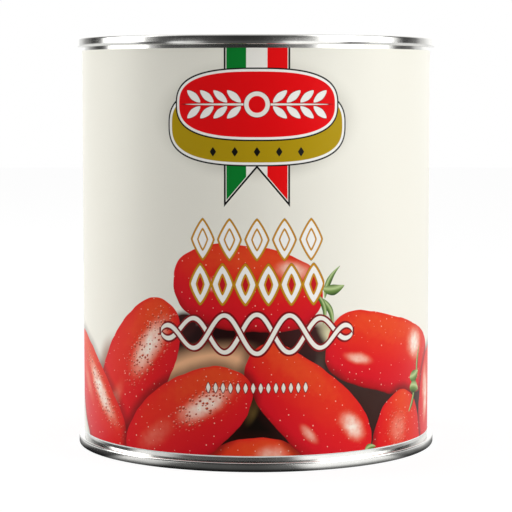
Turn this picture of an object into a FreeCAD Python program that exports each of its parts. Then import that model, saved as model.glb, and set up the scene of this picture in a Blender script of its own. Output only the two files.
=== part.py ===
"""Catering-size food tin, sealed, with a wrap-round paper label.

The tin stands on its lower rim at z = 0 with its axis on Z, and the label's front faces -Y.
It is built up as the real one is: a welded tinplate body, shut at both ends by a pressed
tinplate end that is rolled over the body's edge in a double seam, and a paper label glued
round the body with its lap at the back. The tin is shut, so its body is solid out to the plate.
All lengths are in millimetres.
"""

import FreeCAD, Part
import collections
import itertools
import math
import os

import Sketcher

OUT = "parts"
os.makedirs(OUT, exist_ok=True)

doc = FreeCAD.newDocument("food_tin")


# ---- Sizes ----------------------------------------------------------------------------------
# One named cell for each size that can be set by itself.

SIZES = {
    "tin_height": 177.8,  # rim to rim
    "body_diameter": 152.2,  # outside of the plate
    "body_plate": 0.25,
    "end_plate": 0.28,
    "seam_overhang": 2.5,  # how far both double seams stand out from the body
    "seam_height": 3.9,
    "seam_round": 0.9,  # rounding of the rim's two upper edges
    "seam_foot_round": 0.6,  # rounding where the seam turns in under itself
    "chuck_taper": 0.5,  # how far the wall inside the rim leans in, below the seam
    "countersink_depth": 7.0,  # rim to the bottom of the round channel
    "countersink_round": 0.8,
    "panel_rise": 1.8,  # bottom of the channel to the flat panel
    "panel_round": 0.5,
    "bead_margin": 7.5,  # edge of the panel to the middle of the widest expansion ring
    "bead_pitch": 10.0,  # from one ring to the next, inwards
    "bead_width": 4.0,
    "bead_height": 0.6,
    "label_paper": 0.12,
    "label_top_gap": 1.5,  # bare plate between the label and the upper seam
    "label_foot_gap": 1.9,  # bare plate between the label and the lower seam
    "label_lap": 9.0,  # how far the paper's outer end covers its inner end
}
BEADS = 3  # expansion rings in each end

sheet = doc.addObject("Spreadsheet::Sheet", "sizes")
for row, (alias, size) in enumerate(SIZES.items(), start=1):
    sheet.set(f"A{row}", alias)
    sheet.set(f"B{row}", str(size))
    sheet.setAlias(f"B{row}", alias)
doc.recompute()


# ---- Outlines -------------------------------------------------------------------------------
# Radii and depths as expressions on the sheet. A depth is measured from the rim's flat edge
# towards the middle of the tin.

S = "sizes."
BODY_RADIUS = f"({S}body_diameter / 2)"
SEAM_RADIUS = f"({BODY_RADIUS} + {S}seam_overhang)"
BORE_RADIUS = f"({BODY_RADIUS} - {S}body_plate)"
CHUCK_RADIUS = f"({BORE_RADIUS} - {S}end_plate)"
CHANNEL_RADIUS = f"({CHUCK_RADIUS} - {S}chuck_taper)"
CHANNEL_DEPTH = f"({S}countersink_depth - {S}countersink_round)"
PANEL_DEPTH = f"({S}countersink_depth - {S}panel_rise)"
SHOULDER_RADIUS = f"({CHANNEL_RADIUS} - 2 * {S}countersink_round)"
BEAD_ARC = f"(({S}bead_width ^ 2 / 4 + {S}bead_height ^ 2) / (2 * {S}bead_height))"


def end_face(plate):
    """One face of an end from the seam's lower edge in to the axis, as corners (radius, depth, arc).
    plate is "0" for the outer face, or the plate's thickness for the face against the body."""
    channel = f"({S}countersink_round + {plate})"
    shoulder_round = f"({S}panel_round - {plate})"
    middle = f"({CHANNEL_RADIUS} - {S}countersink_round)"
    panel = f"({PANEL_DEPTH} + {plate})"
    corners = [
        (f"{CHUCK_RADIUS} + {plate}", f"{S}seam_height", None),
        (f"{CHANNEL_RADIUS} + {plate}", CHANNEL_DEPTH, None),
        (middle, f"{CHANNEL_DEPTH} + {channel}", channel),
        (f"{middle} - {channel}", CHANNEL_DEPTH, channel),
        (f"{SHOULDER_RADIUS} - {plate}", f"{PANEL_DEPTH} + {S}panel_round", None),
        (f"{SHOULDER_RADIUS} - {S}panel_round", panel, f"-{shoulder_round}"),
    ]
    for ring in range(BEADS):
        bead = f"({SHOULDER_RADIUS} - {S}bead_margin - {ring} * {S}bead_pitch)"
        corners.append((f"{bead} + {S}bead_width / 2", panel, None))
        corners.append((bead, f"{panel} - {S}bead_height", f"-{BEAD_ARC}"))
        corners.append((f"{bead} - {S}bead_width / 2", panel, f"-{BEAD_ARC}"))
    corners.append(("0", panel, None))
    return corners


def backwards(corners):
    """The same line walked from its other end."""
    turned = []
    arc_before = None
    for radius, depth, arc in reversed(corners):
        turned.append((radius, depth, arc_before))
        arc_before = other_hand(arc)
    return turned


def upside_down(corners):
    """The same line for the upper end of the tin, where depths count down from the top."""
    return [(r, f"{S}tin_height - ({z})", other_hand(arc)) for r, z, arc in corners]


def other_hand(arc):
    """An arc's radius with its side changed."""
    if arc is None:
        return None
    return arc[1:] if arc.startswith("-") else f"-{arc}"


ON_FLOOR, ON_AXIS = -1, -2  # a sketch's own horizontal and upright axes
Cell = collections.namedtuple("Cell", "name value")
outlines = doc.addObject("Spreadsheet::Sheet", "outlines")
free_rows = itertools.count(1)


def draw(sketch, corners):
    """Closes an outline through the corners and ties every corner and arc to its cell.
    Each corner is joined to the one before it by a line or, where it has a radius, by an arc:
    plus where the outline turns left along it (Z up, X to the right), and minus for a right turn."""
    cells = written(corners)
    points = [FreeCAD.Vector(r.value, z.value, 0) for r, z, _ in cells]
    starts, ends = [], []
    for k, (_, _, arc) in enumerate(cells):
        start, end = points[k - 1], points[k]
        if arc is None:
            sketch.addGeometry(Part.LineSegment(start, end), False)
        else:
            sketch.addGeometry(arc_between(start, end, arc.value), False)
        clockwise = arc is not None and arc.value < 0
        starts.append(2 if clockwise else 1)
        ends.append(1 if clockwise else 2)
    for k, (r, z, arc) in enumerate(cells):
        following = (k + 1) % len(cells)
        sketch.addConstraint(Sketcher.Constraint("Coincident", k, ends[k], following, starts[following]))
        if r.value == 0:
            sketch.addConstraint(Sketcher.Constraint("PointOnObject", k, ends[k], ON_AXIS))
        else:
            tie(sketch, Sketcher.Constraint("DistanceX", -1, 1, k, ends[k], r.value), r.name)
        if z.value == 0:
            sketch.addConstraint(Sketcher.Constraint("PointOnObject", k, ends[k], ON_FLOOR))
        else:
            tie(sketch, Sketcher.Constraint("DistanceY", -1, 1, k, ends[k], z.value), z.name)
        if arc is not None:
            tie(sketch, Sketcher.Constraint("Radius", k, abs(arc.value)), f"abs({arc.name})")


def written(corners):
    """The corners, each expression put in the next cell down the outlines sheet."""
    cells = [[text and f"A{next(free_rows)}" for text in corner] for corner in corners]
    for corner, names in zip(corners, cells):
        for text, name in zip(corner, names):
            if text:
                outlines.set(name, f"={text}")
    outlines.recompute()
    return [[name and Cell(f"outlines.{name}", float(outlines.get(name))) for name in row] for row in cells]


def arc_between(start, end, radius):
    """The shorter arc of that radius from start to end. Its centre is on the left if the radius is plus."""
    chord = end - start
    to_left = FreeCAD.Vector(-chord.y, chord.x, 0).normalize()
    rise = math.sqrt(max(radius**2 - (chord.Length / 2) ** 2, 0))
    centre = (start + end) / 2 + to_left * math.copysign(rise, radius)
    angles = [math.atan2(p.y - centre.y, p.x - centre.x) for p in (start, end)]
    if radius < 0:
        angles.reverse()
    circle = Part.Circle(centre, FreeCAD.Vector(0, 0, 1), abs(radius))
    return Part.ArcOfCircle(circle, *angles)


def tie(sketch, constraint, text):
    """Adds a constraint whose value is an expression on the sheet."""
    place = sketch.addConstraint(constraint)
    sketch.setExpression(f"Constraints[{place}]", text)


def turned_body(label, corners):
    """A PartDesign body whose outline is turned once round Z."""
    body = doc.addObject("PartDesign::Body", label)
    body.Label = label
    sketch = body.newObject("Sketcher::SketchObject", f"{label}_outline")
    upright = next(f for f in body.Origin.OriginFeatures if f.Role == "XZ_Plane")
    sketch.AttachmentSupport = [(upright, "")]
    sketch.MapMode = "FlatFace"
    doc.recompute()
    draw(sketch, corners)
    turn = body.newObject("PartDesign::Revolution", f"{label}_turn")
    turn.Profile = sketch
    turn.ReferenceAxis = (sketch, ["V_Axis"])
    turn.Angle = 360
    sketch.Visibility = False
    body.Tip = turn
    return body


# ---- Ends -----------------------------------------------------------------------------------
# Each end is one pressed disc of tinplate. Its edge is rolled with the body's into the double
# seam, pressed so tight that it is a solid ring. Inside the rim a wall drops to a round channel,
# the countersink, and the panel above it has rings that let it bulge as the food is cooked.

SEAM = [
    (CHUCK_RADIUS, f"{S}seam_round", None),
    (f"{CHUCK_RADIUS} + {S}seam_round", "0", f"{S}seam_round"),
    (f"{SEAM_RADIUS} - {S}seam_round", "0", None),
    (SEAM_RADIUS, f"{S}seam_round", f"{S}seam_round"),
    (SEAM_RADIUS, f"{S}seam_height - {S}seam_foot_round", None),
    (f"{SEAM_RADIUS} - {S}seam_foot_round", f"{S}seam_height", f"{S}seam_foot_round"),
]
INSIDE = end_face(f"{S}end_plate")
END = backwards(end_face("0")) + SEAM + INSIDE

bottom_end = turned_body("bottom_end", END)
top_end = turned_body("top_end", END)
top_end.Placement = FreeCAD.Placement(
    FreeCAD.Vector(0, 0, SIZES["tin_height"]), FreeCAD.Rotation(FreeCAD.Vector(1, 0, 0), 180)
)
top_end.setExpression("Placement.Base.z", f"{S}tin_height")


# ---- Body -----------------------------------------------------------------------------------
# The rolled and welded tube with all that it holds. It meets both ends face to face.

WALL = [
    (BODY_RADIUS, f"{S}seam_height", None),
    (BODY_RADIUS, f"{S}tin_height - {S}seam_height", None),
]
can_body = turned_body("can_body", backwards(INSIDE) + WALL + upside_down(INSIDE))


# ---- Label ----------------------------------------------------------------------------------
# A sheet of paper round the body, between the seams. Its outer end laps over its inner end at
# the back, on +Y, where the paper is two layers thick.

LAP_TURN = f"{S}label_lap / {BODY_RADIUS} * 180 deg / pi"
BACK = FreeCAD.Rotation(FreeCAD.Vector(0, 0, 1), 90)


def label_cylinder(name, layers, angle=None):
    """An upright cylinder of the label's height, out to that many layers of its paper."""
    made = doc.addObject("Part::Cylinder", name)
    made.setExpression("Radius", f"{BODY_RADIUS} + {layers} * {S}label_paper")
    low, high = f"({S}seam_height + {S}label_foot_gap)", f"({S}seam_height + {S}label_top_gap)"
    made.setExpression("Height", f"{S}tin_height - {low} - {high}")
    made.setExpression("Placement.Base.z", low)
    if angle:
        made.setExpression("Angle", angle)
        made.Placement.Rotation = BACK
    return made


def joined(kind, name, base, tool):
    """A boolean of two objects."""
    made = doc.addObject(kind, name)
    made.Base, made.Tool = base, tool
    return made


one_layer = label_cylinder("label_one_layer", 1)
lap_layers = label_cylinder("label_lap_layers", 2, LAP_TURN)
rolled_paper = joined("Part::Fuse", "label_rolled_paper", one_layer, lap_layers)
label = joined("Part::Cut", "label", rolled_paper, label_cylinder("label_inside", 0))


# ---- Checks and files -----------------------------------------------------------------------

doc.recompute()
for thing in doc.Objects:
    if {"Invalid", "Error"} & set(thing.State):
        raise RuntimeError(f"{thing.Label} failed: {thing.State}")

for piece in (can_body, bottom_end, top_end, label):
    shape = piece.Shape
    if shape.isNull() or not shape.isValid() or not shape.Solids:
        raise RuntimeError(f"{piece.Label} has no sound solid")
    shape.exportStep(os.path.join(OUT, f"{piece.Label}.step"))
    box = shape.optimalBoundingBox()
    print(
        f"{piece.Label}: {len(shape.Solids)} solid, {shape.Volume / 1000:.2f} cm3,",
        f"{box.XLength:.2f} x {box.YLength:.2f} x {box.ZLength:.2f} mm from z {box.ZMin:.2f}",
    )
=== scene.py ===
"""A catering tin of plum tomatoes, shut, standing on a white table. Lengths are in metres."""

import math

import bpy
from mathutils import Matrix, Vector


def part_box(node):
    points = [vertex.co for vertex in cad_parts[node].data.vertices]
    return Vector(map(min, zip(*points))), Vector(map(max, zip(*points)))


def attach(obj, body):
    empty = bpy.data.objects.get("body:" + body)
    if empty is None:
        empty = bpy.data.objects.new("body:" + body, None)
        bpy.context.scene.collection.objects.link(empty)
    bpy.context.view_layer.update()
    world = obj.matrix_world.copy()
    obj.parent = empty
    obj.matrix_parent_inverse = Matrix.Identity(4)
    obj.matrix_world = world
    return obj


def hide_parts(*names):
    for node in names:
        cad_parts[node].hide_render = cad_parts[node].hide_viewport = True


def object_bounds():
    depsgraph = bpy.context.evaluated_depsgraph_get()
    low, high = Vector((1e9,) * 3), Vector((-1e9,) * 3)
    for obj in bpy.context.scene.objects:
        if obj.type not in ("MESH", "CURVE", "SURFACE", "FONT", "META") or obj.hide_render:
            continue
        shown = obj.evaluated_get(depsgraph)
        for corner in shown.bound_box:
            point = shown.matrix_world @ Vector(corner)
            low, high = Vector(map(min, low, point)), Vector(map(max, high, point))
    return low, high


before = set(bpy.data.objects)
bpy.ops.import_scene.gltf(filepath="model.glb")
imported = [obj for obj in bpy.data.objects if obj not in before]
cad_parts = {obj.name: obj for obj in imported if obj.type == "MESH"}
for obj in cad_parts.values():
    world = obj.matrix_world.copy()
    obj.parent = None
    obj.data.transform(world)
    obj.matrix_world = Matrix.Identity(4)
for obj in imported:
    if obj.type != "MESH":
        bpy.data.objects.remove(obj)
cad_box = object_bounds()


# ---- Studio ---------------------------------------------------------------------------------
# The tin stands on a white table between two upright soft boxes: the key to the right, and one
# a little behind it on the left that lights its edge. Gloss shows the room's panels instead.

MM = 0.001


def colour(code):
    """The linear colour of an sRGB hex code."""
    parts = [int(code[k : k + 2], 16) / 255 for k in (1, 3, 5)]
    return (*[v / 12.92 if v <= 0.04045 else ((v + 0.055) / 1.055) ** 2.4 for v in parts], 1)


def add(tree, kind, *values, **settings):
    """Adds a node. The values feed its inputs in their order, and are other nodes, their outputs or
    constants. A setting is the node's own or an input's name."""
    node = tree.nodes.new(kind if kind.startswith("Node") else f"ShaderNode{kind}")
    feeds = []
    for name, value in settings.items():
        wanted = name.replace("_", " ").lower()
        named = [socket for socket in node.inputs if socket.name.lower() == wanted]
        if named:
            feeds.append((named[0], value))
        else:
            setattr(node, name, value)
    for socket, value in [*zip(node.inputs, values), *feeds]:
        source = value.outputs[0] if isinstance(value, bpy.types.Node) else value
        if isinstance(source, bpy.types.NodeSocket):
            tree.links.new(source, socket)
        elif source is not None:
            socket.default_value = source
    return node


def calc(tree, operation, *values):
    """Adds a Math node."""
    return add(tree, "Math", *values, operation=operation)


def vector(tree, operation, *values):
    """Adds a Vector Math node."""
    return add(tree, "VectorMath", *values, operation=operation)


def fade_in(tree, value, nothing, full, low, high):
    """Adds a Map Range node with soft ends: low where the value is nothing, high where it is full."""
    return add(
        tree, "MapRange", value, nothing, full, low, high, interpolation_type="SMOOTHSTEP", clamp=False
    )


def set_stops(ramp, stops, interpolation="LINEAR"):
    """Gives a Color Ramp node its stops: (position, sRGB hex code or linear colour)."""
    ramp.color_ramp.interpolation = interpolation
    elements = ramp.color_ramp.elements
    while len(elements) < len(stops):
        elements.new(0.5)
    for element, (position, shade) in zip(elements, stops):
        element.position = position
        element.color = colour(shade) if isinstance(shade, str) else shade
    return ramp


def grey(level):
    return (level, level, level, 1)


def round_the_tin(tree, x, y, levels):
    """A grey that eases through levels, given as (degrees from the front towards +X, level)."""
    bearing = calc(tree, "ARCTAN2", x, calc(tree, "MULTIPLY", y, -1))
    turn = calc(tree, "MULTIPLY_ADD", bearing, 1 / math.tau, 0.5)
    stops = [(degrees / 360 + 0.5, grey(level)) for degrees, level in levels]
    return set_stops(add(tree, "ValToRGB", turn), stops, "EASE")


def new_material(name):
    """A material with no nodes yet, and its tree."""
    material = bpy.data.materials.new(name)
    material.use_nodes = True
    material.node_tree.nodes.clear()
    return material, material.node_tree


CAMERA_DISTANCE = 0.876  # from the tin's axis
CAMERA_HEIGHT = 0.1566
CAMERA_TILT = math.radians(4.87)  # downwards
CAMERA_LENS = 139.3

camera = bpy.data.objects.new("camera", bpy.data.cameras.new("camera"))
bpy.context.scene.collection.objects.link(camera)
camera.location = (0, -CAMERA_DISTANCE, CAMERA_HEIGHT)
camera.rotation_euler = (math.radians(90) - CAMERA_TILT, 0, 0)
camera.data.lens = CAMERA_LENS
bpy.context.scene.camera = camera
bpy.context.scene.view_settings.view_transform = "Standard"


def soft_box(name, azimuth, distance, width, height, level):
    """An upright soft box at an azimuth from the front, towards +X. A white card that faces it
    reflects that level of light."""
    lamp = bpy.data.lights.new(name, "AREA")
    lamp.shape = "RECTANGLE"
    lamp.size = width
    lamp.size_y = height
    lamp.energy = level * math.pi**2 * distance**2
    box = bpy.data.objects.new(name, lamp)
    bpy.context.scene.collection.objects.link(box)
    turn = math.radians(azimuth)
    box.location = (distance * math.sin(turn), -distance * math.cos(turn), cad_box[1][2] * 0.9)
    towards = Vector((0, 0, cad_box[1][2] / 2)) - box.location
    box.rotation_euler = towards.to_track_quat("-Z", "Y").to_euler()
    box.visible_glossy = False  # the room's panels below are what gloss shows
    return box


soft_box("key_soft_box", 63, 1.5, 0.9, 0.9, 0.81)
soft_box("edge_soft_box", -106, 1.5, 1.2, 0.9, 0.92)

# What polished metal shows of the room, by degrees from the front towards +X: the lit panels, and
# the dark hangings between them. Other surfaces get an even, dim light from all round.
ROOM_LEVEL = 0.45
ROOM = [
    (-180, 1.3), (-160, 1.3), (-150, 0.95), (-136, 0.3), (-126, 0.04), (-116, 0.12), (-107, 3.5),
    (-78, 3.5), (-72, 0.6), (-62, 0.14), (-51, 0.07), (0, 0.035), (16, 0.09), (26, 0.17),
    (36, 0.45), (46, 3.5), (90, 3.5), (98, 1.0), (103, 0.15), (108, 0.06), (121, 0.2),
    (130, 0.8), (145, 1.3), (180, 1.3),
]
CEILING_LEVEL = 0.75
CEILING_RISE = (0.6, 0.98)  # how steeply up a ray goes where the ceiling starts and is whole
world = bpy.data.worlds.new("studio")
bpy.context.scene.world = world
world.use_nodes = True
room = world.node_tree
room.nodes.clear()
direction = add(room, "SeparateXYZ", add(room, "TexCoord").outputs["Generated"])
walls = round_the_tin(room, direction.outputs[0], direction.outputs[1], ROOM)
overhead = fade_in(room, direction.outputs[2], *CEILING_RISE, 0, 1)
reflected = add(room, "MixRGB", overhead, walls, grey(CEILING_LEVEL))
path = add(room, "LightPath")
seen = add(room, "MixRGB", path.outputs["Is Glossy Ray"], grey(ROOM_LEVEL), reflected)
shown = add(room, "MixRGB", path.outputs["Is Camera Ray"], seen, grey(1))
add(room, "OutputWorld", add(room, "Background", shown))

# The table is white laminate. To the camera it glows a little, so that only the tin's shadow
# shows. Polished metal sees a painted glow on it: white cards round the tin, dark gaps between.
TABLE_SIZE = 6
TABLE_SHADE = 0.8
TABLE_SHADOW, TABLE_GLOW = 0.22, 0.88  # the camera sees a white table and this much of a shadow
CARD_GLOW_PAINTED_SHADE = 0.12  # painted shade: next to the tin the cards' glow is dimmed to this, as if its foot kept the light off
CARDS_NEAR, CARDS_FAR = 78 * MM, 92 * MM  # from the tin's axis
# Painted glow on the table, seen only in polished metal: (degrees from the front towards +X, level).
PAINTED_CARD_GLOW = [
    (-180, 1), (-85, 1), (-70, 0.1), (-58, 0.1), (-50, 1.2), (-40, 0.9), (-28, 0.12), (0, 0.09),
    (12, 0.16), (22, 1.4), (50, 1.4), (58, 0.3), (66, 0.4), (80, 1), (180, 1),
]
bpy.ops.object.select_all(action="DESELECT")
bpy.ops.mesh.primitive_plane_add(size=TABLE_SIZE, location=(0, 0, 0))
table = bpy.context.object
table.name = "table"
laminate, tree = new_material("white laminate")
path = add(tree, "LightPath")
plain = add(tree, "BsdfDiffuse", grey(TABLE_SHADE))
spot = add(tree, "TexCoord").outputs["Object"]
sides = add(tree, "SeparateXYZ", spot)
painted_card_glow = round_the_tin(tree, sides.outputs[0], sides.outputs[1], PAINTED_CARD_GLOW)
from_axis = vector(tree, "LENGTH", spot).outputs["Value"]
# Painted shade: the cards' glow fades out next to the tin.
clear = fade_in(tree, from_axis, CARDS_NEAR, CARDS_FAR, CARD_GLOW_PAINTED_SHADE, 1)
painted_glow_in_metal = add(tree, "Emission", painted_card_glow, clear)
others = add(tree, "MixShader", path.outputs["Is Glossy Ray"], plain, painted_glow_in_metal)
shadow = add(tree, "BsdfDiffuse", grey(TABLE_SHADOW))
glow = add(tree, "AddShader", shadow, add(tree, "Emission", grey(TABLE_GLOW), 1))
add(tree, "OutputMaterial", add(tree, "MixShader", path.outputs["Is Camera Ray"], others, glow))
table.data.materials.append(laminate)


# ---- Body -----------------------------------------------------------------------------------
# The body is a strip of bright tinplate 0.25 mm thick, rolled up and welded down the back. It
# shows only as a thin band between the label and each rim.

BODY_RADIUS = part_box("can_body")[1][0]
TIN_HEIGHT = cad_box[1][2]
SEAM_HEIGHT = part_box("can_body")[0][2]
BODY_PLATE = 0.25 * MM
WELD_WIDTH = 1.4 * MM
WELD_RISE = 0.05 * MM
TURNS = 360  # one segment a degree
SAME_PLACE = 0.001 * MM  # vertices nearer than this are merged
SMOOTH_BELOW = math.radians(35)  # bends under this are shaded smooth


def lone_vertex(name):
    """A new piece, in edit mode, with one vertex at the origin."""
    bpy.ops.object.select_all(action="DESELECT")
    bpy.ops.mesh.primitive_plane_add(size=MM, location=(0, 0, 0))
    piece = bpy.context.object
    piece.name = name
    bpy.ops.object.mode_set(mode="EDIT")
    bpy.ops.mesh.merge(type="CENTER")
    return piece


def turned(name, outline):
    """A closed outline of (radius, height) points, drawn from its first point by extruding a
    vertex along it, and turned once round Z. An outline from the axis to the axis stays open."""
    piece = lone_vertex(name)
    place = Vector((0, 0, 0))
    closes = outline[0][0] > 0
    for k, (radius, height) in enumerate(outline + outline[:1] if closes else outline):
        corner = Vector((radius, 0, height))
        step = {"value": corner - place}
        if k == 0:
            bpy.ops.transform.translate(**step)
        else:
            bpy.ops.mesh.extrude_vertices_move(TRANSFORM_OT_translate=step)
        place = corner
    bpy.ops.mesh.select_all(action="SELECT")
    bpy.ops.mesh.remove_doubles(threshold=SAME_PLACE)
    bpy.ops.mesh.spin(steps=TURNS, angle=math.tau, center=(0, 0, 0), axis=(0, 0, 1))
    bpy.ops.mesh.select_all(action="SELECT")
    bpy.ops.mesh.remove_doubles(threshold=SAME_PLACE)
    bpy.ops.mesh.normals_make_consistent(inside=False)
    bpy.ops.object.mode_set(mode="OBJECT")
    bpy.ops.object.shade_smooth_by_angle(angle=SMOOTH_BELOW)
    return piece


hidden_edge = 0.5 * MM  # the tube's edges run up into the seams
body = turned(
    "tin_body",
    [
        (BODY_RADIUS, SEAM_HEIGHT - hidden_edge),
        (BODY_RADIUS, TIN_HEIGHT - SEAM_HEIGHT + hidden_edge),
        (BODY_RADIUS - BODY_PLATE, TIN_HEIGHT - SEAM_HEIGHT + hidden_edge),
        (BODY_RADIUS - BODY_PLATE, SEAM_HEIGHT - hidden_edge),
    ],
)
for vertex in body.data.vertices:
    across = abs(vertex.co.x)
    if vertex.co.y > 0 and across < WELD_WIDTH and vertex.co.xy.length > BODY_RADIUS - BODY_PLATE / 2:
        rise = WELD_RISE * math.cos(across / WELD_WIDTH * math.pi / 2)
        vertex.co.xy *= 1 + rise / BODY_RADIUS
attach(body, "root")
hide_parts("can_body")


# Tinplate is steel rolled bright and flash-plated with tin: a clear mirror with a faint grain
# the way it was rolled, here round the body, and a slight cloudiness in the tin.
def tinplate(name, grain_pitch, along):
    """A bright tinplate, with rolling lines that far apart, across the radius and height that
    along weighs."""
    material, tree = new_material(name)
    place = add(tree, "TexCoord").outputs["Object"]
    flat = vector(tree, "MULTIPLY", place, (1, 1, 0))
    radius = vector(tree, "LENGTH", flat).outputs["Value"]
    height = add(tree, "SeparateXYZ", place).outputs[2]
    rings = vector(tree, "MULTIPLY", add(tree, "CombineXYZ", radius, height, 0), along)
    grain = add(tree, "TexNoise", rings, scale=1 / grain_pitch, detail=3)
    cloud = add(tree, "TexNoise", place, scale=1 / (9 * MM), detail=4)
    sheen = add(tree, "MapRange", cloud, 0.3, 0.7, 0.1, 0.15)
    roughness = calc(tree, "MULTIPLY_ADD", grain, 0.05, sheen)
    shade = set_stops(add(tree, "ValToRGB", cloud), [(0.3, "#D2D2CF"), (0.7, "#DEDDD9")])
    bump = add(tree, "Bump", strength=0.15, distance=0.01 * MM, height=grain)
    finish = add(tree, "BsdfPrincipled", base_color=shade, metallic=1, roughness=roughness, normal=bump)
    add(tree, "OutputMaterial", finish)
    return material


body.data.materials.append(tinplate("rolled tinplate", 0.5 * MM, (0, 1, 0)))


# ---- Ends -----------------------------------------------------------------------------------
# Each end is a pressed disc of tinplate. Its edge is folded over the body's in a double seam,
# and inside that a wall drops to a round channel. Raised rings let the panel bulge in cooking.

SEAM_RADIUS = cad_box[1][0]
END_PLATE = 0.28 * MM
CHUCK_RADIUS = BODY_RADIUS - BODY_PLATE - END_PLATE
CHUCK_TAPER = 0.5 * MM
SEAM_ROUND = 0.9 * MM
SEAM_FOOT_ROUND = 0.6 * MM
SEAM_CROWN = 0.05 * MM  # the seam's outer wall is rounded outwards a little
CHANNEL_DEPTH = 7.0 * MM
CHANNEL_ROUND = 0.8 * MM
PANEL_DEPTH = CHANNEL_DEPTH - 1.8 * MM
PANEL_ROUND = 0.5 * MM
RING_MARGIN = 7.5 * MM
RING_PITCH = 10 * MM
RING_WIDTH = 4 * MM
RING_RISE = 0.6 * MM
RING_STEPS = 12
RINGS = 3


def arc(radius, depth, size, first, last, steps):
    """Points round an arc, its angles in degrees from +radius towards greater depth."""
    angles = [math.radians(first + (last - first) * k / steps) for k in range(steps + 1)]
    return [(radius + size * math.cos(a), depth + size * math.sin(a)) for a in angles]


def end_outline():
    """(radius, depth below the rim) from the middle out along the hidden side to the seam's foot,
    then over the rim and in to the middle again."""
    shoulder = CHUCK_RADIUS - CHUCK_TAPER - 2 * CHANNEL_ROUND
    middle = CHUCK_RADIUS - CHUCK_TAPER - CHANNEL_ROUND
    outline = [
        (0, PANEL_DEPTH + END_PLATE),
        (shoulder - END_PLATE, PANEL_DEPTH + END_PLATE),
        (shoulder - END_PLATE, CHANNEL_DEPTH + END_PLATE),
        (BODY_RADIUS - BODY_PLATE, CHANNEL_DEPTH + END_PLATE),
        (BODY_RADIUS - BODY_PLATE, SEAM_HEIGHT),
    ]
    foot = SEAM_RADIUS - SEAM_CROWN
    outline += arc(foot - SEAM_FOOT_ROUND, SEAM_HEIGHT - SEAM_FOOT_ROUND, SEAM_FOOT_ROUND, 90, 10, 6)
    for share in (0.25, 0.5, 0.75):
        depth = SEAM_HEIGHT - SEAM_FOOT_ROUND - share * (SEAM_HEIGHT - SEAM_FOOT_ROUND - SEAM_ROUND)
        outline.append((SEAM_RADIUS - SEAM_CROWN * (1 - share) ** 2, depth))
    outline += arc(SEAM_RADIUS - SEAM_ROUND, SEAM_ROUND, SEAM_ROUND, 0, -90, 8)
    outline += arc(CHUCK_RADIUS + SEAM_ROUND, SEAM_ROUND, SEAM_ROUND, -90, -180, 8)
    outline += arc(middle, CHANNEL_DEPTH - CHANNEL_ROUND, CHANNEL_ROUND, 0, 180, 12)
    outline += arc(shoulder - PANEL_ROUND, PANEL_DEPTH + PANEL_ROUND, PANEL_ROUND, 0, -90, 5)
    for ring in range(RINGS):
        crest = shoulder - RING_MARGIN - ring * RING_PITCH
        for k in range(RING_STEPS + 1):
            share = 2 * k / RING_STEPS - 1
            rise = RING_RISE * (1 + math.cos(share * math.pi)) / 2
            outline.append((crest - share * RING_WIDTH / 2, PANEL_DEPTH - rise))
    outline.append((0, PANEL_DEPTH))
    return outline


pressed_tinplate = tinplate("pressed tinplate", 0.35 * MM, (1, 1, 0))
for node, heights in (("top_end", lambda depth: TIN_HEIGHT - depth), ("bottom_end", lambda depth: depth)):
    end = turned(f"tin_{node}", [(radius, heights(depth)) for radius, depth in end_outline()])
    end.data.materials.append(pressed_tinplate)
    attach(end, "root")
    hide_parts(node)


# ---- Label ----------------------------------------------------------------------------------
# A sheet of coated paper 0.12 mm thick, rolled round the body and glued to itself at the back,
# where its outer end laps 9 mm over its inner end.

LABEL_LOW, LABEL_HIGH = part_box("label")[0][2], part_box("label")[1][2]
PAPER = 0.12 * MM
GLUE = 0.005 * MM
LAP = 9 * MM
LAP_STEPS = 7
PAPER_RADIUS = BODY_RADIUS + PAPER

label = lone_vertex("paper_label")
bpy.ops.transform.translate(value=(0, BODY_RADIUS, LABEL_LOW))
bpy.ops.mesh.extrude_vertices_move(TRANSFORM_OT_translate={"value": (0, 0, LABEL_HIGH - LABEL_LOW)})
bpy.ops.mesh.select_all(action="SELECT")
bpy.ops.mesh.spin(steps=TURNS, angle=math.tau, center=(0, 0, 0), axis=(0, 0, 1), use_auto_merge=False)
climb = 1 + (PAPER + GLUE) / BODY_RADIUS
bpy.ops.transform.resize(value=(climb, climb, 1), center_override=(0, 0, 0))
bpy.ops.mesh.spin(
    steps=LAP_STEPS, angle=LAP / BODY_RADIUS, center=(0, 0, 0), axis=(0, 0, 1), use_auto_merge=False
)
bpy.ops.mesh.select_all(action="SELECT")
bpy.ops.mesh.normals_make_consistent(inside=False)
bpy.ops.object.mode_set(mode="OBJECT")
if label.data.polygons[0].normal.dot(label.data.polygons[0].center.xyz) < 0:
    label.data.flip_normals()
wall = label.modifiers.new("paper thickness", "SOLIDIFY")
wall.thickness = PAPER
wall.offset = 1
bpy.ops.object.modifier_apply(modifier=wall.name)
bpy.ops.object.shade_smooth_by_angle(angle=SMOOTH_BELOW)
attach(label, "root")
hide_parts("label")

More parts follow.
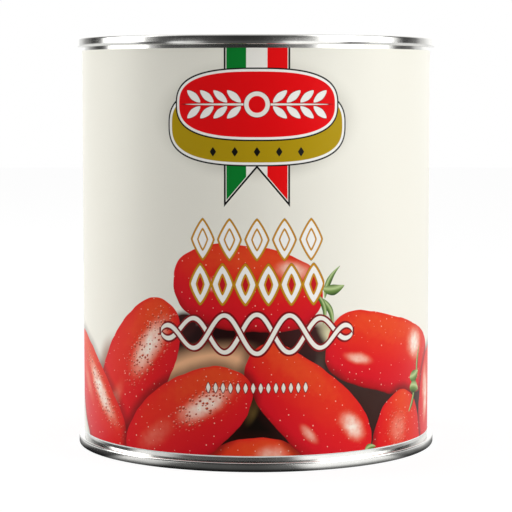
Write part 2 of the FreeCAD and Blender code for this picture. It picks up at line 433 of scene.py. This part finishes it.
# The print is placed in millimetres: along the paper from the middle of the front, to the
# right, and up from the floor. A second layout gives the two halves of the print a row each.
BAKE_ROW = 0.47
BAKE_ROWS = (0.01, 0.49)
BAKE_HIDDEN = (0.97, 0.02)  # the back of the paper and its cut edges
BAKE_SPAN = 0.98
print_map = label.data.uv_layers.new(name="Print")
bake_map = label.data.uv_layers.new(name="OFBake")
for face in label.data.polygons:
    facing = face.normal.xy.dot(face.center.xy.normalized())
    middle = math.atan2(face.center.x, -face.center.y)
    for loop in face.loop_indices:
        corner = label.data.vertices[label.data.loops[loop].vertex_index].co
        swing = math.remainder(math.atan2(corner.x, -corner.y) - middle, math.tau)
        angle = middle + swing
        rise = (corner.z - LABEL_LOW) / (LABEL_HIGH - LABEL_LOW)
        print_map.data[loop].uv = (angle * PAPER_RADIUS / MM, corner.z / MM)
        if facing > 0.5:
            at_back = abs(middle) > math.pi / 2
            from_middle = math.remainder(angle - math.pi * at_back, math.tau)
            along = 0.5 + from_middle / math.pi * BAKE_SPAN
            bake_map.data[loop].uv = (along, BAKE_ROWS[at_back] + rise * BAKE_ROW)
        else:
            along = 0.5 + angle / math.tau * BAKE_SPAN
            bake_map.data[loop].uv = (along, BAKE_HIDDEN[0] + rise * BAKE_HIDDEN[1])


# Print on the label: the front's design, and the same again at the back. It is built up on the
# paper from plain shapes, each in millimetres from the middle of the front and from the floor.
REPEAT = math.pi * PAPER_RADIUS / MM  # half-way round
FAR = 900  # mm, more than the label's height
INK_EDGE = 0.16  # mm over which an edge of ink fades


def group(name, inputs, outputs):
    """A node group with sockets of those names and kinds, and the outputs of its input node."""
    tree = bpy.data.node_groups.new(name, "ShaderNodeTree")
    for side, sockets in (("INPUT", inputs), ("OUTPUT", outputs)):
        for socket_name, kind in sockets.items():
            tree.interface.new_socket(socket_name, in_out=side, socket_type=f"NodeSocket{kind}")
    return tree, add(tree, "NodeGroupInput").outputs


def within(tree, distance, reach=0):
    """1 where a distance in millimetres is under reach, fading to 0 over an edge of ink."""
    start = calc(tree, "MULTIPLY_ADD", reach, 1 / INK_EDGE, 0.5)
    return add(tree, "Clamp", calc(tree, "MULTIPLY_ADD", distance, -1 / INK_EDGE, start))


def nearest(tree, place, pitch=REPEAT):
    """A place wrapped to half a pitch on either side of its origin, for what repeats along the
    paper."""
    return vector(tree, "WRAP", place, (pitch / 2, FAR, 1), (-pitch / 2, -FAR, -1))


def moved(tree, place, at, turn, size):
    """A place as a shape sees it that is moved, turned in radians and stretched by those."""
    twist = add(tree, "CombineXYZ", 0, 0, turn) if turn else (0, 0, 0)
    return add(tree, "Mapping", place, at, twist, size, vector_type="TEXTURE")


# An oval, with its centre, turn, half length and half width, taper, and fullness: 1 is a
# lozenge, 2 an ellipse, and more is boxier. Distance is from its edge.
oval, sockets = group(
    "oval",
    {
        "Place": "Vector", "Centre": "Vector", "Turn": "Float", "Half": "Vector", "Taper": "Float",
        "Fullness": "Float",
    },
    {"Distance": "Float", "Local": "Vector", "Reach": "Float"},
)
away = vector(oval, "SUBTRACT", sockets["Place"], sockets["Centre"])
local = moved(oval, nearest(oval, away), (0, 0, 0), sockets["Turn"], sockets["Half"])
parts = add(oval, "SeparateXYZ", local)
widening = calc(oval, "MULTIPLY_ADD", parts.outputs[0], sockets["Taper"], 1)
across = calc(oval, "DIVIDE", parts.outputs[1], widening)
size = vector(oval, "ABSOLUTE", add(oval, "CombineXYZ", parts.outputs[0], across, 0))
parts = add(oval, "SeparateXYZ", size)
less = calc(oval, "SUBTRACT", sockets["Fullness"], 1)
powers = [calc(oval, "POWER", parts.outputs[side], less) for side in (0, 1)]
powers = add(oval, "CombineXYZ", *powers, 0)
total = vector(oval, "DOT_PRODUCT", powers, size).outputs["Value"]
root = calc(oval, "DIVIDE", 1, sockets["Fullness"])
reach = calc(oval, "POWER", total, root)
gradient = vector(oval, "DIVIDE", powers, sockets["Half"])
slope = vector(oval, "LENGTH", gradient).outputs["Value"]
excess = calc(oval, "SUBTRACT", total, calc(oval, "DIVIDE", total, reach))
distance = calc(oval, "DIVIDE", excess, slope)
add(oval, "NodeGroupOutput", distance, local, reach)


def shape_group(name, settings):
    """A node group that prints one kind of shape on the ink below it, with settings beyond its
    place, centre, turn and half sizes."""
    common = {"Place": "Vector", "Below": "Color", "Centre": "Vector", "Turn": "Float", "Half": "Vector"}
    return group(name, {**common, **settings}, {"Colour": "Color"})


def own_oval(tree, sockets, **settings):
    """The oval that a shape's own place, centre, turn and half sizes give."""
    return add(
        tree, "Group", node_tree=oval, place=sockets["Place"], centre=sockets["Centre"],
        turn=sockets["Turn"], half=sockets["Half"], **settings,
    )


# A flat shape with a line round it and an edge round that.
lined_shape, sockets = shape_group(
    "lined shape",
    {
        "Fullness": "Float", "Fill": "Color", "Line": "Color", "Line Width": "Float", "Edge": "Color",
        "Edge Width": "Float",
    },
)
shape = own_oval(lined_shape, sockets, fullness=sockets["Fullness"])
outermost = calc(lined_shape, "ADD", sockets["Line Width"], sockets["Edge Width"])
ink = sockets["Below"]
for name, reach in (("Edge", outermost), ("Line", sockets["Line Width"]), ("Fill", 0)):
    ink = add(lined_shape, "MixRGB", within(lined_shape, shape, reach), ink, sockets[name])
add(lined_shape, "NodeGroupOutput", ink)

# A soft patch of colour, for the shade and glow between the tomatoes.
soft_patch, sockets = shape_group("soft patch", {"Tone": "Color", "Strength": "Float"})
shape = own_oval(soft_patch, sockets, fullness=2)
fade = fade_in(soft_patch, shape.outputs["Reach"], 1, 0.25, 0, sockets["Strength"])
add(soft_patch, "NodeGroupOutput", add(soft_patch, "MixRGB", fade, sockets["Below"], sockets["Tone"]))

# A sepal or a bit of stem: a pointed strip, bent along its length, pale down its middle.
sepal, sockets = shape_group("sepal", {"Bend": "Float"})
away = vector(sepal, "SUBTRACT", sockets["Place"], sockets["Centre"])
straight = moved(sepal, nearest(sepal, away), (0, 0, 0), sockets["Turn"], (1, 1, 1))
parts = add(sepal, "SeparateXYZ", straight)
square = calc(sepal, "POWER", parts.outputs[0], 2)
sag = calc(sepal, "MULTIPLY_ADD", square, sockets["Bend"], parts.outputs[1])
bent = add(sepal, "CombineXYZ", parts.outputs[0], sag, 0)
shape = add(sepal, "Group", node_tree=oval, place=bent, half=sockets["Half"], fullness=1.5, taper=-0.35)
blade = add(sepal, "SeparateXYZ", shape.outputs["Local"]).outputs[1]
GREENS = [(0.1, "#35501F"), (0.4, "#6E8E46"), (0.62, "#BCCF92"), (0.95, "#56762F")]
half_up = calc(sepal, "MULTIPLY_ADD", blade, 0.5, 0.5)
green = set_stops(add(sepal, "ValToRGB", half_up), GREENS)
add(sepal, "NodeGroupOutput", add(sepal, "MixRGB", within(sepal, shape), sockets["Below"], green))

# A plum tomato: a waxy red oval lit from above, with two soft reflections, water drops on its
# wet side, pale specks in its skin, and a shade that it casts on what lies behind.
tomato, sockets = shape_group(
    "plum tomato",
    {
        "Taper": "Float", "Fullness": "Float", "Shine At": "Vector", "Shine Size": "Vector",
        "Shine": "Float", "Glow At": "Vector", "Glow Size": "Vector", "Glow": "Float", "Wet": "Float",
        "Shade": "Float", "Drops": "Vector", "Mottle": "Float",
    },
)
FROM_ABOVE = Vector((0.12, 0.72, 0.68)).normalized()
SHADE_REACH = 4.5  # mm beyond the tomato's edge
SKIN = [
    (0.0, "#78060C"), (0.15, "#B40A16"), (0.4, "#D60E20"), (0.68, "#DE161C"), (0.9, "#E42E1A"),
    (1.0, "#E8481E"),
]
WATER = [(0.0, "#6B120E"), (0.45, "#B93A26"), (0.75, "#E88A68"), (1.0, "#FFF6EE")]
shape = own_oval(tomato, sockets, taper=sockets["Taper"], fullness=sockets["Fullness"])
squared = calc(tomato, "POWER", shape.outputs["Reach"], 2.4)
left_over = calc(tomato, "MAXIMUM", calc(tomato, "SUBTRACT", 1, squared), 0)
bulge = calc(tomato, "POWER", left_over, 0.5)
flat = vector(tomato, "MULTIPLY", shape.outputs["Local"], (0.6, 1, 0))
normal = vector(tomato, "NORMALIZE", vector(tomato, "ADD", flat, add(tomato, "CombineXYZ", 0, 0, bulge)))
light = moved(tomato, tuple(FROM_ABOVE), (0, 0, 0), sockets["Turn"], (1, 1, 1))
lit = vector(tomato, "DOT_PRODUCT", normal, light).outputs["Value"]
tone = add(tomato, "MapRange", lit, -0.65, 1.0, 0, 1, clamp=False)
tone = calc(tomato, "MULTIPLY_ADD", sockets["Mottle"], 0.12, tone)
skin = set_stops(add(tomato, "ValToRGB", tone), SKIN)


def reflection(name):
    """A soft-edged oval reflection on the skin, placed in shares of its half length and width:
    the distance from its middle, and its strength."""
    spot = moved(tomato, shape.outputs["Local"], sockets[f"{name} At"], 0, sockets[f"{name} Size"])
    reach = vector(tomato, "LENGTH", vector(tomato, "MULTIPLY", spot, (1, 1, 0))).outputs["Value"]
    return reach, fade_in(tomato, reach, 1, 0.1, 0, sockets[name])


shine_reach, shine = reflection("Shine")
_, glow = reflection("Glow")
uneven = calc(tomato, "MULTIPLY_ADD", sockets["Mottle"], 1.1, 0.95)
gloss = calc(tomato, "MULTIPLY", calc(tomato, "MAXIMUM", shine, glow), uneven)
skin = add(tomato, "MixRGB", calc(tomato, "MULTIPLY", gloss, 1.3), skin, colour("#F0703C"))
skin = add(tomato, "MixRGB", calc(tomato, "POWER", gloss, 1.7), skin, colour("#FFF0E2"))
drops = add(tomato, "SeparateXYZ", sockets["Drops"])
water = set_stops(add(tomato, "ValToRGB", drops.outputs[1]), WATER)
wet_side = fade_in(tomato, shine_reach, 1.2, 0.65, 0, sockets["Wet"])
skin = add(tomato, "MixRGB", calc(tomato, "MULTIPLY", drops.outputs[0], wet_side), skin, water)
skin = add(tomato, "MixRGB", drops.outputs[2], skin, colour("#F9D3BE"))
cast = fade_in(tomato, shape, SHADE_REACH, 0, 0, sockets["Shade"])
below = add(tomato, "MixRGB", cast, sockets["Below"], colour("#2B0D08"))
add(tomato, "NodeGroupOutput", add(tomato, "MixRGB", within(tomato, shape), below, skin))

# The paper itself, and what the tomatoes share: the drops of water and specks on their skin, its
# mottling, and a slight waver in their outlines.
WAVER = 3  # mm from side to side
coated_paper, sheet = new_material("printed coated paper")
place = add(sheet, "UVMap", uv_map="Print").outputs[0]
fibre = add(sheet, "TexNoise", place, scale=2.5, detail=3)
ink = add(sheet, "MixRGB", fibre, colour("#F2F0E3"), colour("#F7F5EA"))

waver = add(sheet, "TexNoise", place, scale=0.07, detail=2)
waver = add(sheet, "SeparateColor", waver.outputs["Color"])
offset = add(sheet, "CombineXYZ", waver.outputs[0], waver.outputs[1], 0)
offset = vector(sheet, "SUBTRACT", offset, (0.5, 0.5, 0))
swayed = vector(sheet, "MULTIPLY_ADD", offset, (WAVER, WAVER, 0), place)
mottle = add(sheet, "TexNoise", place, scale=0.35, detail=5)
mottle = calc(sheet, "SUBTRACT", mottle, 0.5)


def dots(pitch, largest, share):
    """Round dots in a share of cells that far apart: a mask, and each dot's place from its middle
    in radii."""
    cells = add(sheet, "TexVoronoi", place, voronoi_dimensions="2D", scale=1 / pitch)
    chance = add(sheet, "SeparateColor", cells.outputs["Color"])
    radius = add(sheet, "MapRange", chance.outputs[0], 1 - share, 1, 0, largest, clamp=False)
    gap = calc(sheet, "MULTIPLY", cells.outputs["Distance"], pitch)
    inside = within(sheet, calc(sheet, "SUBTRACT", gap, radius))
    mask = calc(sheet, "MULTIPLY", inside, calc(sheet, "GREATER_THAN", radius, 0.05))
    from_middle = vector(sheet, "SUBTRACT", place, cells.outputs["Position"])
    return mask, vector(sheet, "DIVIDE", from_middle, add(sheet, "CombineXYZ", radius, radius, 1))


drop_mask, in_drop = dots(1.45, 0.75, 0.65)
slant = vector(sheet, "DOT_PRODUCT", in_drop, (-0.35, 0.75, 0)).outputs["Value"]
drop_tone = add(sheet, "MapRange", slant, -0.7, 0.7, 0.1, 0.95, clamp=False)
speck_mask, _ = dots(3.4, 0.3, 0.55)
drops = add(sheet, "CombineXYZ", drop_mask, drop_tone, calc(sheet, "MULTIPLY", speck_mask, 0.7))


def after(spot):
    """The same place, but worked out only once the ink so far is known, so that the renderer
    goes through the shapes one by one and needs little room for them."""
    trace = 1e-7
    return vector(sheet, "MULTIPLY_ADD", ink, (trace, trace, trace), spot)


def printed(kind, at, centre, turn, half, **settings):
    """The ink with one more shape on it, seen from the place at."""
    return add(
        sheet, "Group", node_tree=kind, place=after(at), below=ink, centre=(*centre, 0),
        turn=math.radians(turn), half=(*half, 1), **settings,
    )


def patch(centre, turn, half, code, strength):
    return printed(soft_patch, place, centre, turn, half, tone=colour(code), strength=strength)


NO_GLOSS = ((0, 0), (0.3, 0.2), 0)  # a reflection's middle, half sizes and strength


def fruit(centre, turn, half, taper=0, fullness=2.2, shine=NO_GLOSS, glow=NO_GLOSS, wet=0, shade=0.6):
    return printed(
        tomato, swayed, centre, turn, half, taper=taper, fullness=fullness, shine_at=(*shine[0], 0),
        shine_size=(*shine[1], 1), shine=shine[2], glow_at=(*glow[0], 0), glow_size=(*glow[1], 1),
        glow=glow[2], wet=wet, shade=shade, drops=drops, mottle=mottle,
    )


def leaf(centre, turn, half, bend):
    return printed(sepal, place, centre, turn, half, bend=bend)


def badge(at, centre, half, fullness, fill, line, line_width, edge, edge_width, turn=0):
    return printed(
        lined_shape, at, centre, turn, half, fullness=fullness, fill=colour(fill), line=colour(line),
        line_width=line_width, edge=colour(edge), edge_width=edge_width,
    )


# Behind the heap: a soft brown shade on the paper, the dark between the tomatoes, and the light
# that comes through from behind. Each is (middle, turn, half sizes, colour, strength).
PATCHES = [
    ((-74, 40), 60, (17, 10), "#94583A", 0.75),
    ((37, 48), -38, (24, 14), "#9A8A5E", 1.4),
    ((-11, 47), 0, (54, 20), "#240809", 2.3),
    ((-31, 59.5), 20, (10, 7), "#34100F", 1.7),
    ((19, 54.5), -8, (22, 9), "#340E0D", 1.8),
    ((44, 36), -40, (30, 15), "#34201A", 1.8),
    ((71, 20), 0, (40, 24), "#341B15", 2.0),
    ((-2, 20), 0, (30, 30), "#120A05", 1.9),
    ((-22, 38), 14, (34, 16), "#EDB68A", 1.6),
    ((-43, 33), 62, (10, 4), "#7A6230", 1.0),
    ((34.5, 53), -42, (13, 5.5), "#DAD3AC", 1.2),
    ((-1, 27), 70, (10, 3.6), "#6E5A2A", 1.0),
]
for settings in PATCHES:
    ink = patch(*settings)

# The heap, from the back forwards, with the stalks.
HEAP = [
    (fruit, (-3.6, 74.8), -7.6, (31.6, 17.6), -0.03, 2.35,
     ((-0.45, 0), (0.15, 0.2), 0.75), ((0.56, 0.55), (0.3, 0.32), 0.85), 0, 0),
    (leaf, (30.8, 78), 62, (7.5, 1.2), 0.03),
    (leaf, (33, 74), 8, (5, 2.2), -0.04),
    (leaf, (31, 66), -62, (9, 1.3), 0.05),
    (leaf, (28.5, 67), -75, (7, 1.1), 0.05),
    (fruit, (65, 44.8), -13, (36.2, 15.9), -0.1, 3.1,
     ((0.47, 0.44), (0.28, 0.56), 1.0), ((-0.54, -0.26), (0.28, 0.2), 0.7), 0.1, 0),
    (fruit, (109, 19), 80, (25, 20), 0, 2.2,
     ((0.1, 0.45), (0.6, 0.3), 0.9), ((0.3, 0.6), (0.5, 0.3), 0.7)),
    (fruit, (71, 4), 88, (25.5, 19), -0.1, 2.2, ((0.35, 0.1), (0.4, 0.5), 0.35), NO_GLOSS, 0.3),
    (leaf, (86.5, 39.5), 78, (7.5, 1), 0.03),
    (leaf, (82, 24), 64, (6.5, 1.1), -0.03),
    (leaf, (83.6, 33.4), 14, (4.6, 2.8), -0.04),
    (leaf, (83.6, 29), -12, (4.6, 2.8), 0.04),
    (fruit, (-57.3, 38.5), 55, (36, 17.6), 0, 2.05,
     ((0.42, -0.09), (0.56, 0.44), 1.0), ((-0.5, 0.1), (0.4, 0.3), 0.3), 1, 0),
    (fruit, (-87.5, 22.7), -44, (37.3, 17), 0, 2,
     ((0.03, 0.5), (0.64, 0.36), 1.0), ((-0.3, -0.1), (0.4, 0.3), 0.3), 0.8, 0.4),
    (fruit, (-0.4, -4.4), 5, (25, 18), 0, 2.1, ((0.3, 0.6), (0.4, 0.3), 0.6)),
    (fruit, (22.9, 25.2), -44, (34, 15.9), 0.13, 2.7,
     ((0.58, 0.46), (0.3, 0.38), 1.0), ((0.19, -0.52), (0.2, 0.2), 0.6), 0.1),
    (fruit, (-31, 19.8), 33, (33, 17.5), 0, 2.1,
     ((0.36, 0.04), (0.52, 0.38), 1.0), ((-0.45, 0.1), (0.44, 0.36), 0.22), 1),
    (leaf, (51, 7), 20, (3.4, 1.6), 0.1),
]
for kind, *settings in HEAP:
    ink = kind(*settings)

# Ribbon in three stripes from the label's top edge, cut to two points, with the badge's soft
# shade behind it.
BADGE_MIDDLE = 0.5
DESIGN_MIDDLE = 0.4
RIBBON = {"half": 12.7, "tips": 110.3, "notch": 125.2, "line": 0.3, "edge": 0.75}
GREEN, PALE, RED, BLACK = "#007F2C", "#F6F4EC", "#F0040A", "#0C0C0A"
STRIPES = [(0, GREEN), (0.325, GREEN), (0.331, PALE), (0.662, PALE), (0.668, RED), (1, RED)]
ink = patch((BADGE_MIDDLE, 143.5), 0, (47, 27), "#6E6A58", 1.1)
fold = nearest(sheet, after(place))
parts = add(sheet, "SeparateXYZ", fold)
along = calc(sheet, "SUBTRACT", parts.outputs[0], DESIGN_MIDDLE)
height = parts.outputs[1]
aside = calc(sheet, "ABSOLUTE", along)
beyond_side = calc(sheet, "SUBTRACT", aside, RIBBON["half"])
fork = (RIBBON["notch"] - RIBBON["tips"]) / RIBBON["half"]
cut = calc(sheet, "MULTIPLY_ADD", aside, -fork, RIBBON["notch"])
drop_below = calc(sheet, "SUBTRACT", cut, height)
beyond_cut = calc(sheet, "MULTIPLY", drop_below, math.cos(math.atan(fork)))
beyond = calc(sheet, "MAXIMUM", beyond_side, beyond_cut)
stripe = calc(sheet, "MULTIPLY_ADD", along, 0.5 / RIBBON["half"], 0.5)
stripes = set_stops(add(sheet, "ValToRGB", stripe), STRIPES)
ink = add(sheet, "MixRGB", within(sheet, beyond, RIBBON["edge"]), ink, colour(BLACK))
ink = add(sheet, "MixRGB", within(sheet, beyond), ink, colour(PALE))
ink = add(sheet, "MixRGB", within(sheet, beyond, -RIBBON["line"]), ink, stripes)


def row(spot, start, pitch, count):
    """A spot's place in the nearest of a row of shapes, from that shape's own middle, and far
    off beyond the row."""
    own = nearest(sheet, vector(sheet, "SUBTRACT", spot, (start + pitch / 2, 0, 0)), pitch)
    half = pitch * count / 2
    from_middle = calc(sheet, "SUBTRACT", add(sheet, "SeparateXYZ", spot).outputs[0], start + half)
    beyond = calc(sheet, "GREATER_THAN", calc(sheet, "ABSOLUTE", from_middle), half)
    away = add(sheet, "CombineXYZ", 0, calc(sheet, "MULTIPLY", beyond, FAR / 2), 0)
    return vector(sheet, "ADD", own, away)


def centred_row(pitch, count):
    return row(fold, DESIGN_MIDDLE - pitch * count / 2, pitch, count)


# Badge: a red oval over a gold one, with a laurel and a ring on the red and lozenges on the gold.
RED_HEIGHT = 149.7
LAUREL = {"start": 6.5, "pitch": 5.6, "leaves": 4}
GOLD, WHITE, CREAM, BADGE_RED, LAUREL_EDGE = "#B49604", "#FBFAF4", "#F6F4EA", "#EC0008", "#8E0A10"
ink = badge(place, (BADGE_MIDDLE, 141.3), (36.0, 15.0), 2.8, GOLD, WHITE, 1.0, BLACK, 0.6)
ink = badge(place, (BADGE_MIDDLE, RED_HEIGHT), (32.6, 13.2), 2.7, BADGE_RED, WHITE, 1.0, BLACK, 0.6)
ink = badge(centred_row(9, 5), (0, 130.6), (1.3, 1.9), 1.1, "#14140F", GOLD, 0.1, GOLD, 0.1)
from_stem = calc(sheet, "ABSOLUTE", calc(sheet, "SUBTRACT", height, RED_HEIGHT))
mirrored = add(sheet, "CombineXYZ", aside, from_stem, 0)
own = row(mirrored, LAUREL["start"], LAUREL["pitch"], LAUREL["leaves"])
ink = badge(own, (0, 3.2), (3.7, 1.5), 1.5, WHITE, LAUREL_EDGE, 0.12, LAUREL_EDGE, 0.1, turn=40)
centre = (DESIGN_MIDDLE, RED_HEIGHT)
ink = badge(place, centre, (29.5, 0.42), 2, CREAM, LAUREL_EDGE, 0.1, LAUREL_EDGE, 0.05)
ink = badge(place, centre, (5.2, 5.2), 2, CREAM, LAUREL_EDGE, 0.15, LAUREL_EDGE, 0.1)
ink = badge(place, centre, (3.4, 3.4), 2, BADGE_RED, CREAM, 0.1, CREAM, 0.1)

# Two rows of tall white lozenges with gold lines, each with a smaller one inside it.
GILT, GILT_EDGE, LOZENGE_WHITE = "#C98F12", "#8A5A14", "#FDFCF8"
upper, lower = centred_row(11.2, 5), centred_row(9.4, 6)
ink = badge(upper, (0, 95), (4.3, 7.7), 1.15, LOZENGE_WHITE, GILT, 0.7, GILT_EDGE, 0.1)
ink = badge(upper, (0, 95), (1.7, 3.7), 1.15, LOZENGE_WHITE, GILT, 0.55, GILT, 0.1)
ink = badge(lower, (0, 76.7), (4.0, 7.6), 1.2, LOZENGE_WHITE, GILT, 0.8, GILT_EDGE, 0.15)
ink = badge(lower, (0, 76.7), (1.2, 3.2), 1.15, "#C8141C", GILT, 0.6, GILT, 0.1)

# A braid of two white strands, edged in dark red. Its swing shrinks to nothing at both ends.
BRAID = {"middle": 56.5, "half": 41.5, "rise": 8.0, "length": 27.0, "strand": 0.85, "edge": 0.75}
share = calc(sheet, "MULTIPLY", along, 1 / BRAID["half"])
shrink = calc(sheet, "MULTIPLY_ADD", calc(sheet, "MULTIPLY", share, share), -1, 1)
shrink = calc(sheet, "MAXIMUM", shrink, 0)
swing = calc(sheet, "MULTIPLY", calc(sheet, "POWER", shrink, 0.5), BRAID["rise"])
phase = calc(sheet, "MULTIPLY", along, math.tau / BRAID["length"])
most = calc(sheet, "MULTIPLY", swing, math.tau / BRAID["length"])
steep = calc(sheet, "MULTIPLY", calc(sheet, "SINE", phase), most)
stretch = calc(sheet, "POWER", calc(sheet, "MULTIPLY_ADD", steep, steep, 1), 0.5)
wave = calc(sheet, "MULTIPLY", calc(sheet, "COSINE", phase), swing)
level = calc(sheet, "SUBTRACT", height, BRAID["middle"])
past_end = calc(sheet, "SUBTRACT", aside, BRAID["half"])
for side in (-1, 1):
    gap = calc(sheet, "ABSOLUTE", calc(sheet, "MULTIPLY_ADD", wave, side, level))
    off_strand = calc(sheet, "SUBTRACT", calc(sheet, "DIVIDE", gap, stretch), BRAID["strand"])
    beyond = calc(sheet, "MAXIMUM", off_strand, past_end)
    ink = add(sheet, "MixRGB", within(sheet, beyond, BRAID["edge"]), ink, colour("#7E0A10"))
    ink = add(sheet, "MixRGB", within(sheet, beyond), ink, colour("#F7F4EA"))

# A row of small white lozenges.
SMALL_EDGE = "#7A1A14"
ink = badge(centred_row(3.1, 14), (0, 34.3), (0.85, 2.0), 1.3, "#F2EEE2", SMALL_EDGE, 0.2, SMALL_EDGE, 0.1)

# The paper is left bare along its lower edge.
BARE_EDGE = 0.5  # mm
on_print = calc(sheet, "GREATER_THAN", height, LABEL_LOW / MM + BARE_EDGE)
ink = add(sheet, "MixRGB", on_print, colour("#E4EEEC"), ink)
sheen = add(sheet, "MapRange", fibre, 0.3, 0.7, 0.33, 0.4)
tooth = add(sheet, "Bump", strength=0.06, distance=0.02 * MM, height=fibre)
finish = add(
    sheet, "BsdfPrincipled", base_color=ink, roughness=sheen, specular_ior_level=0.15, normal=tooth
)
add(sheet, "OutputMaterial", finish)
label.data.materials.append(coated_paper)
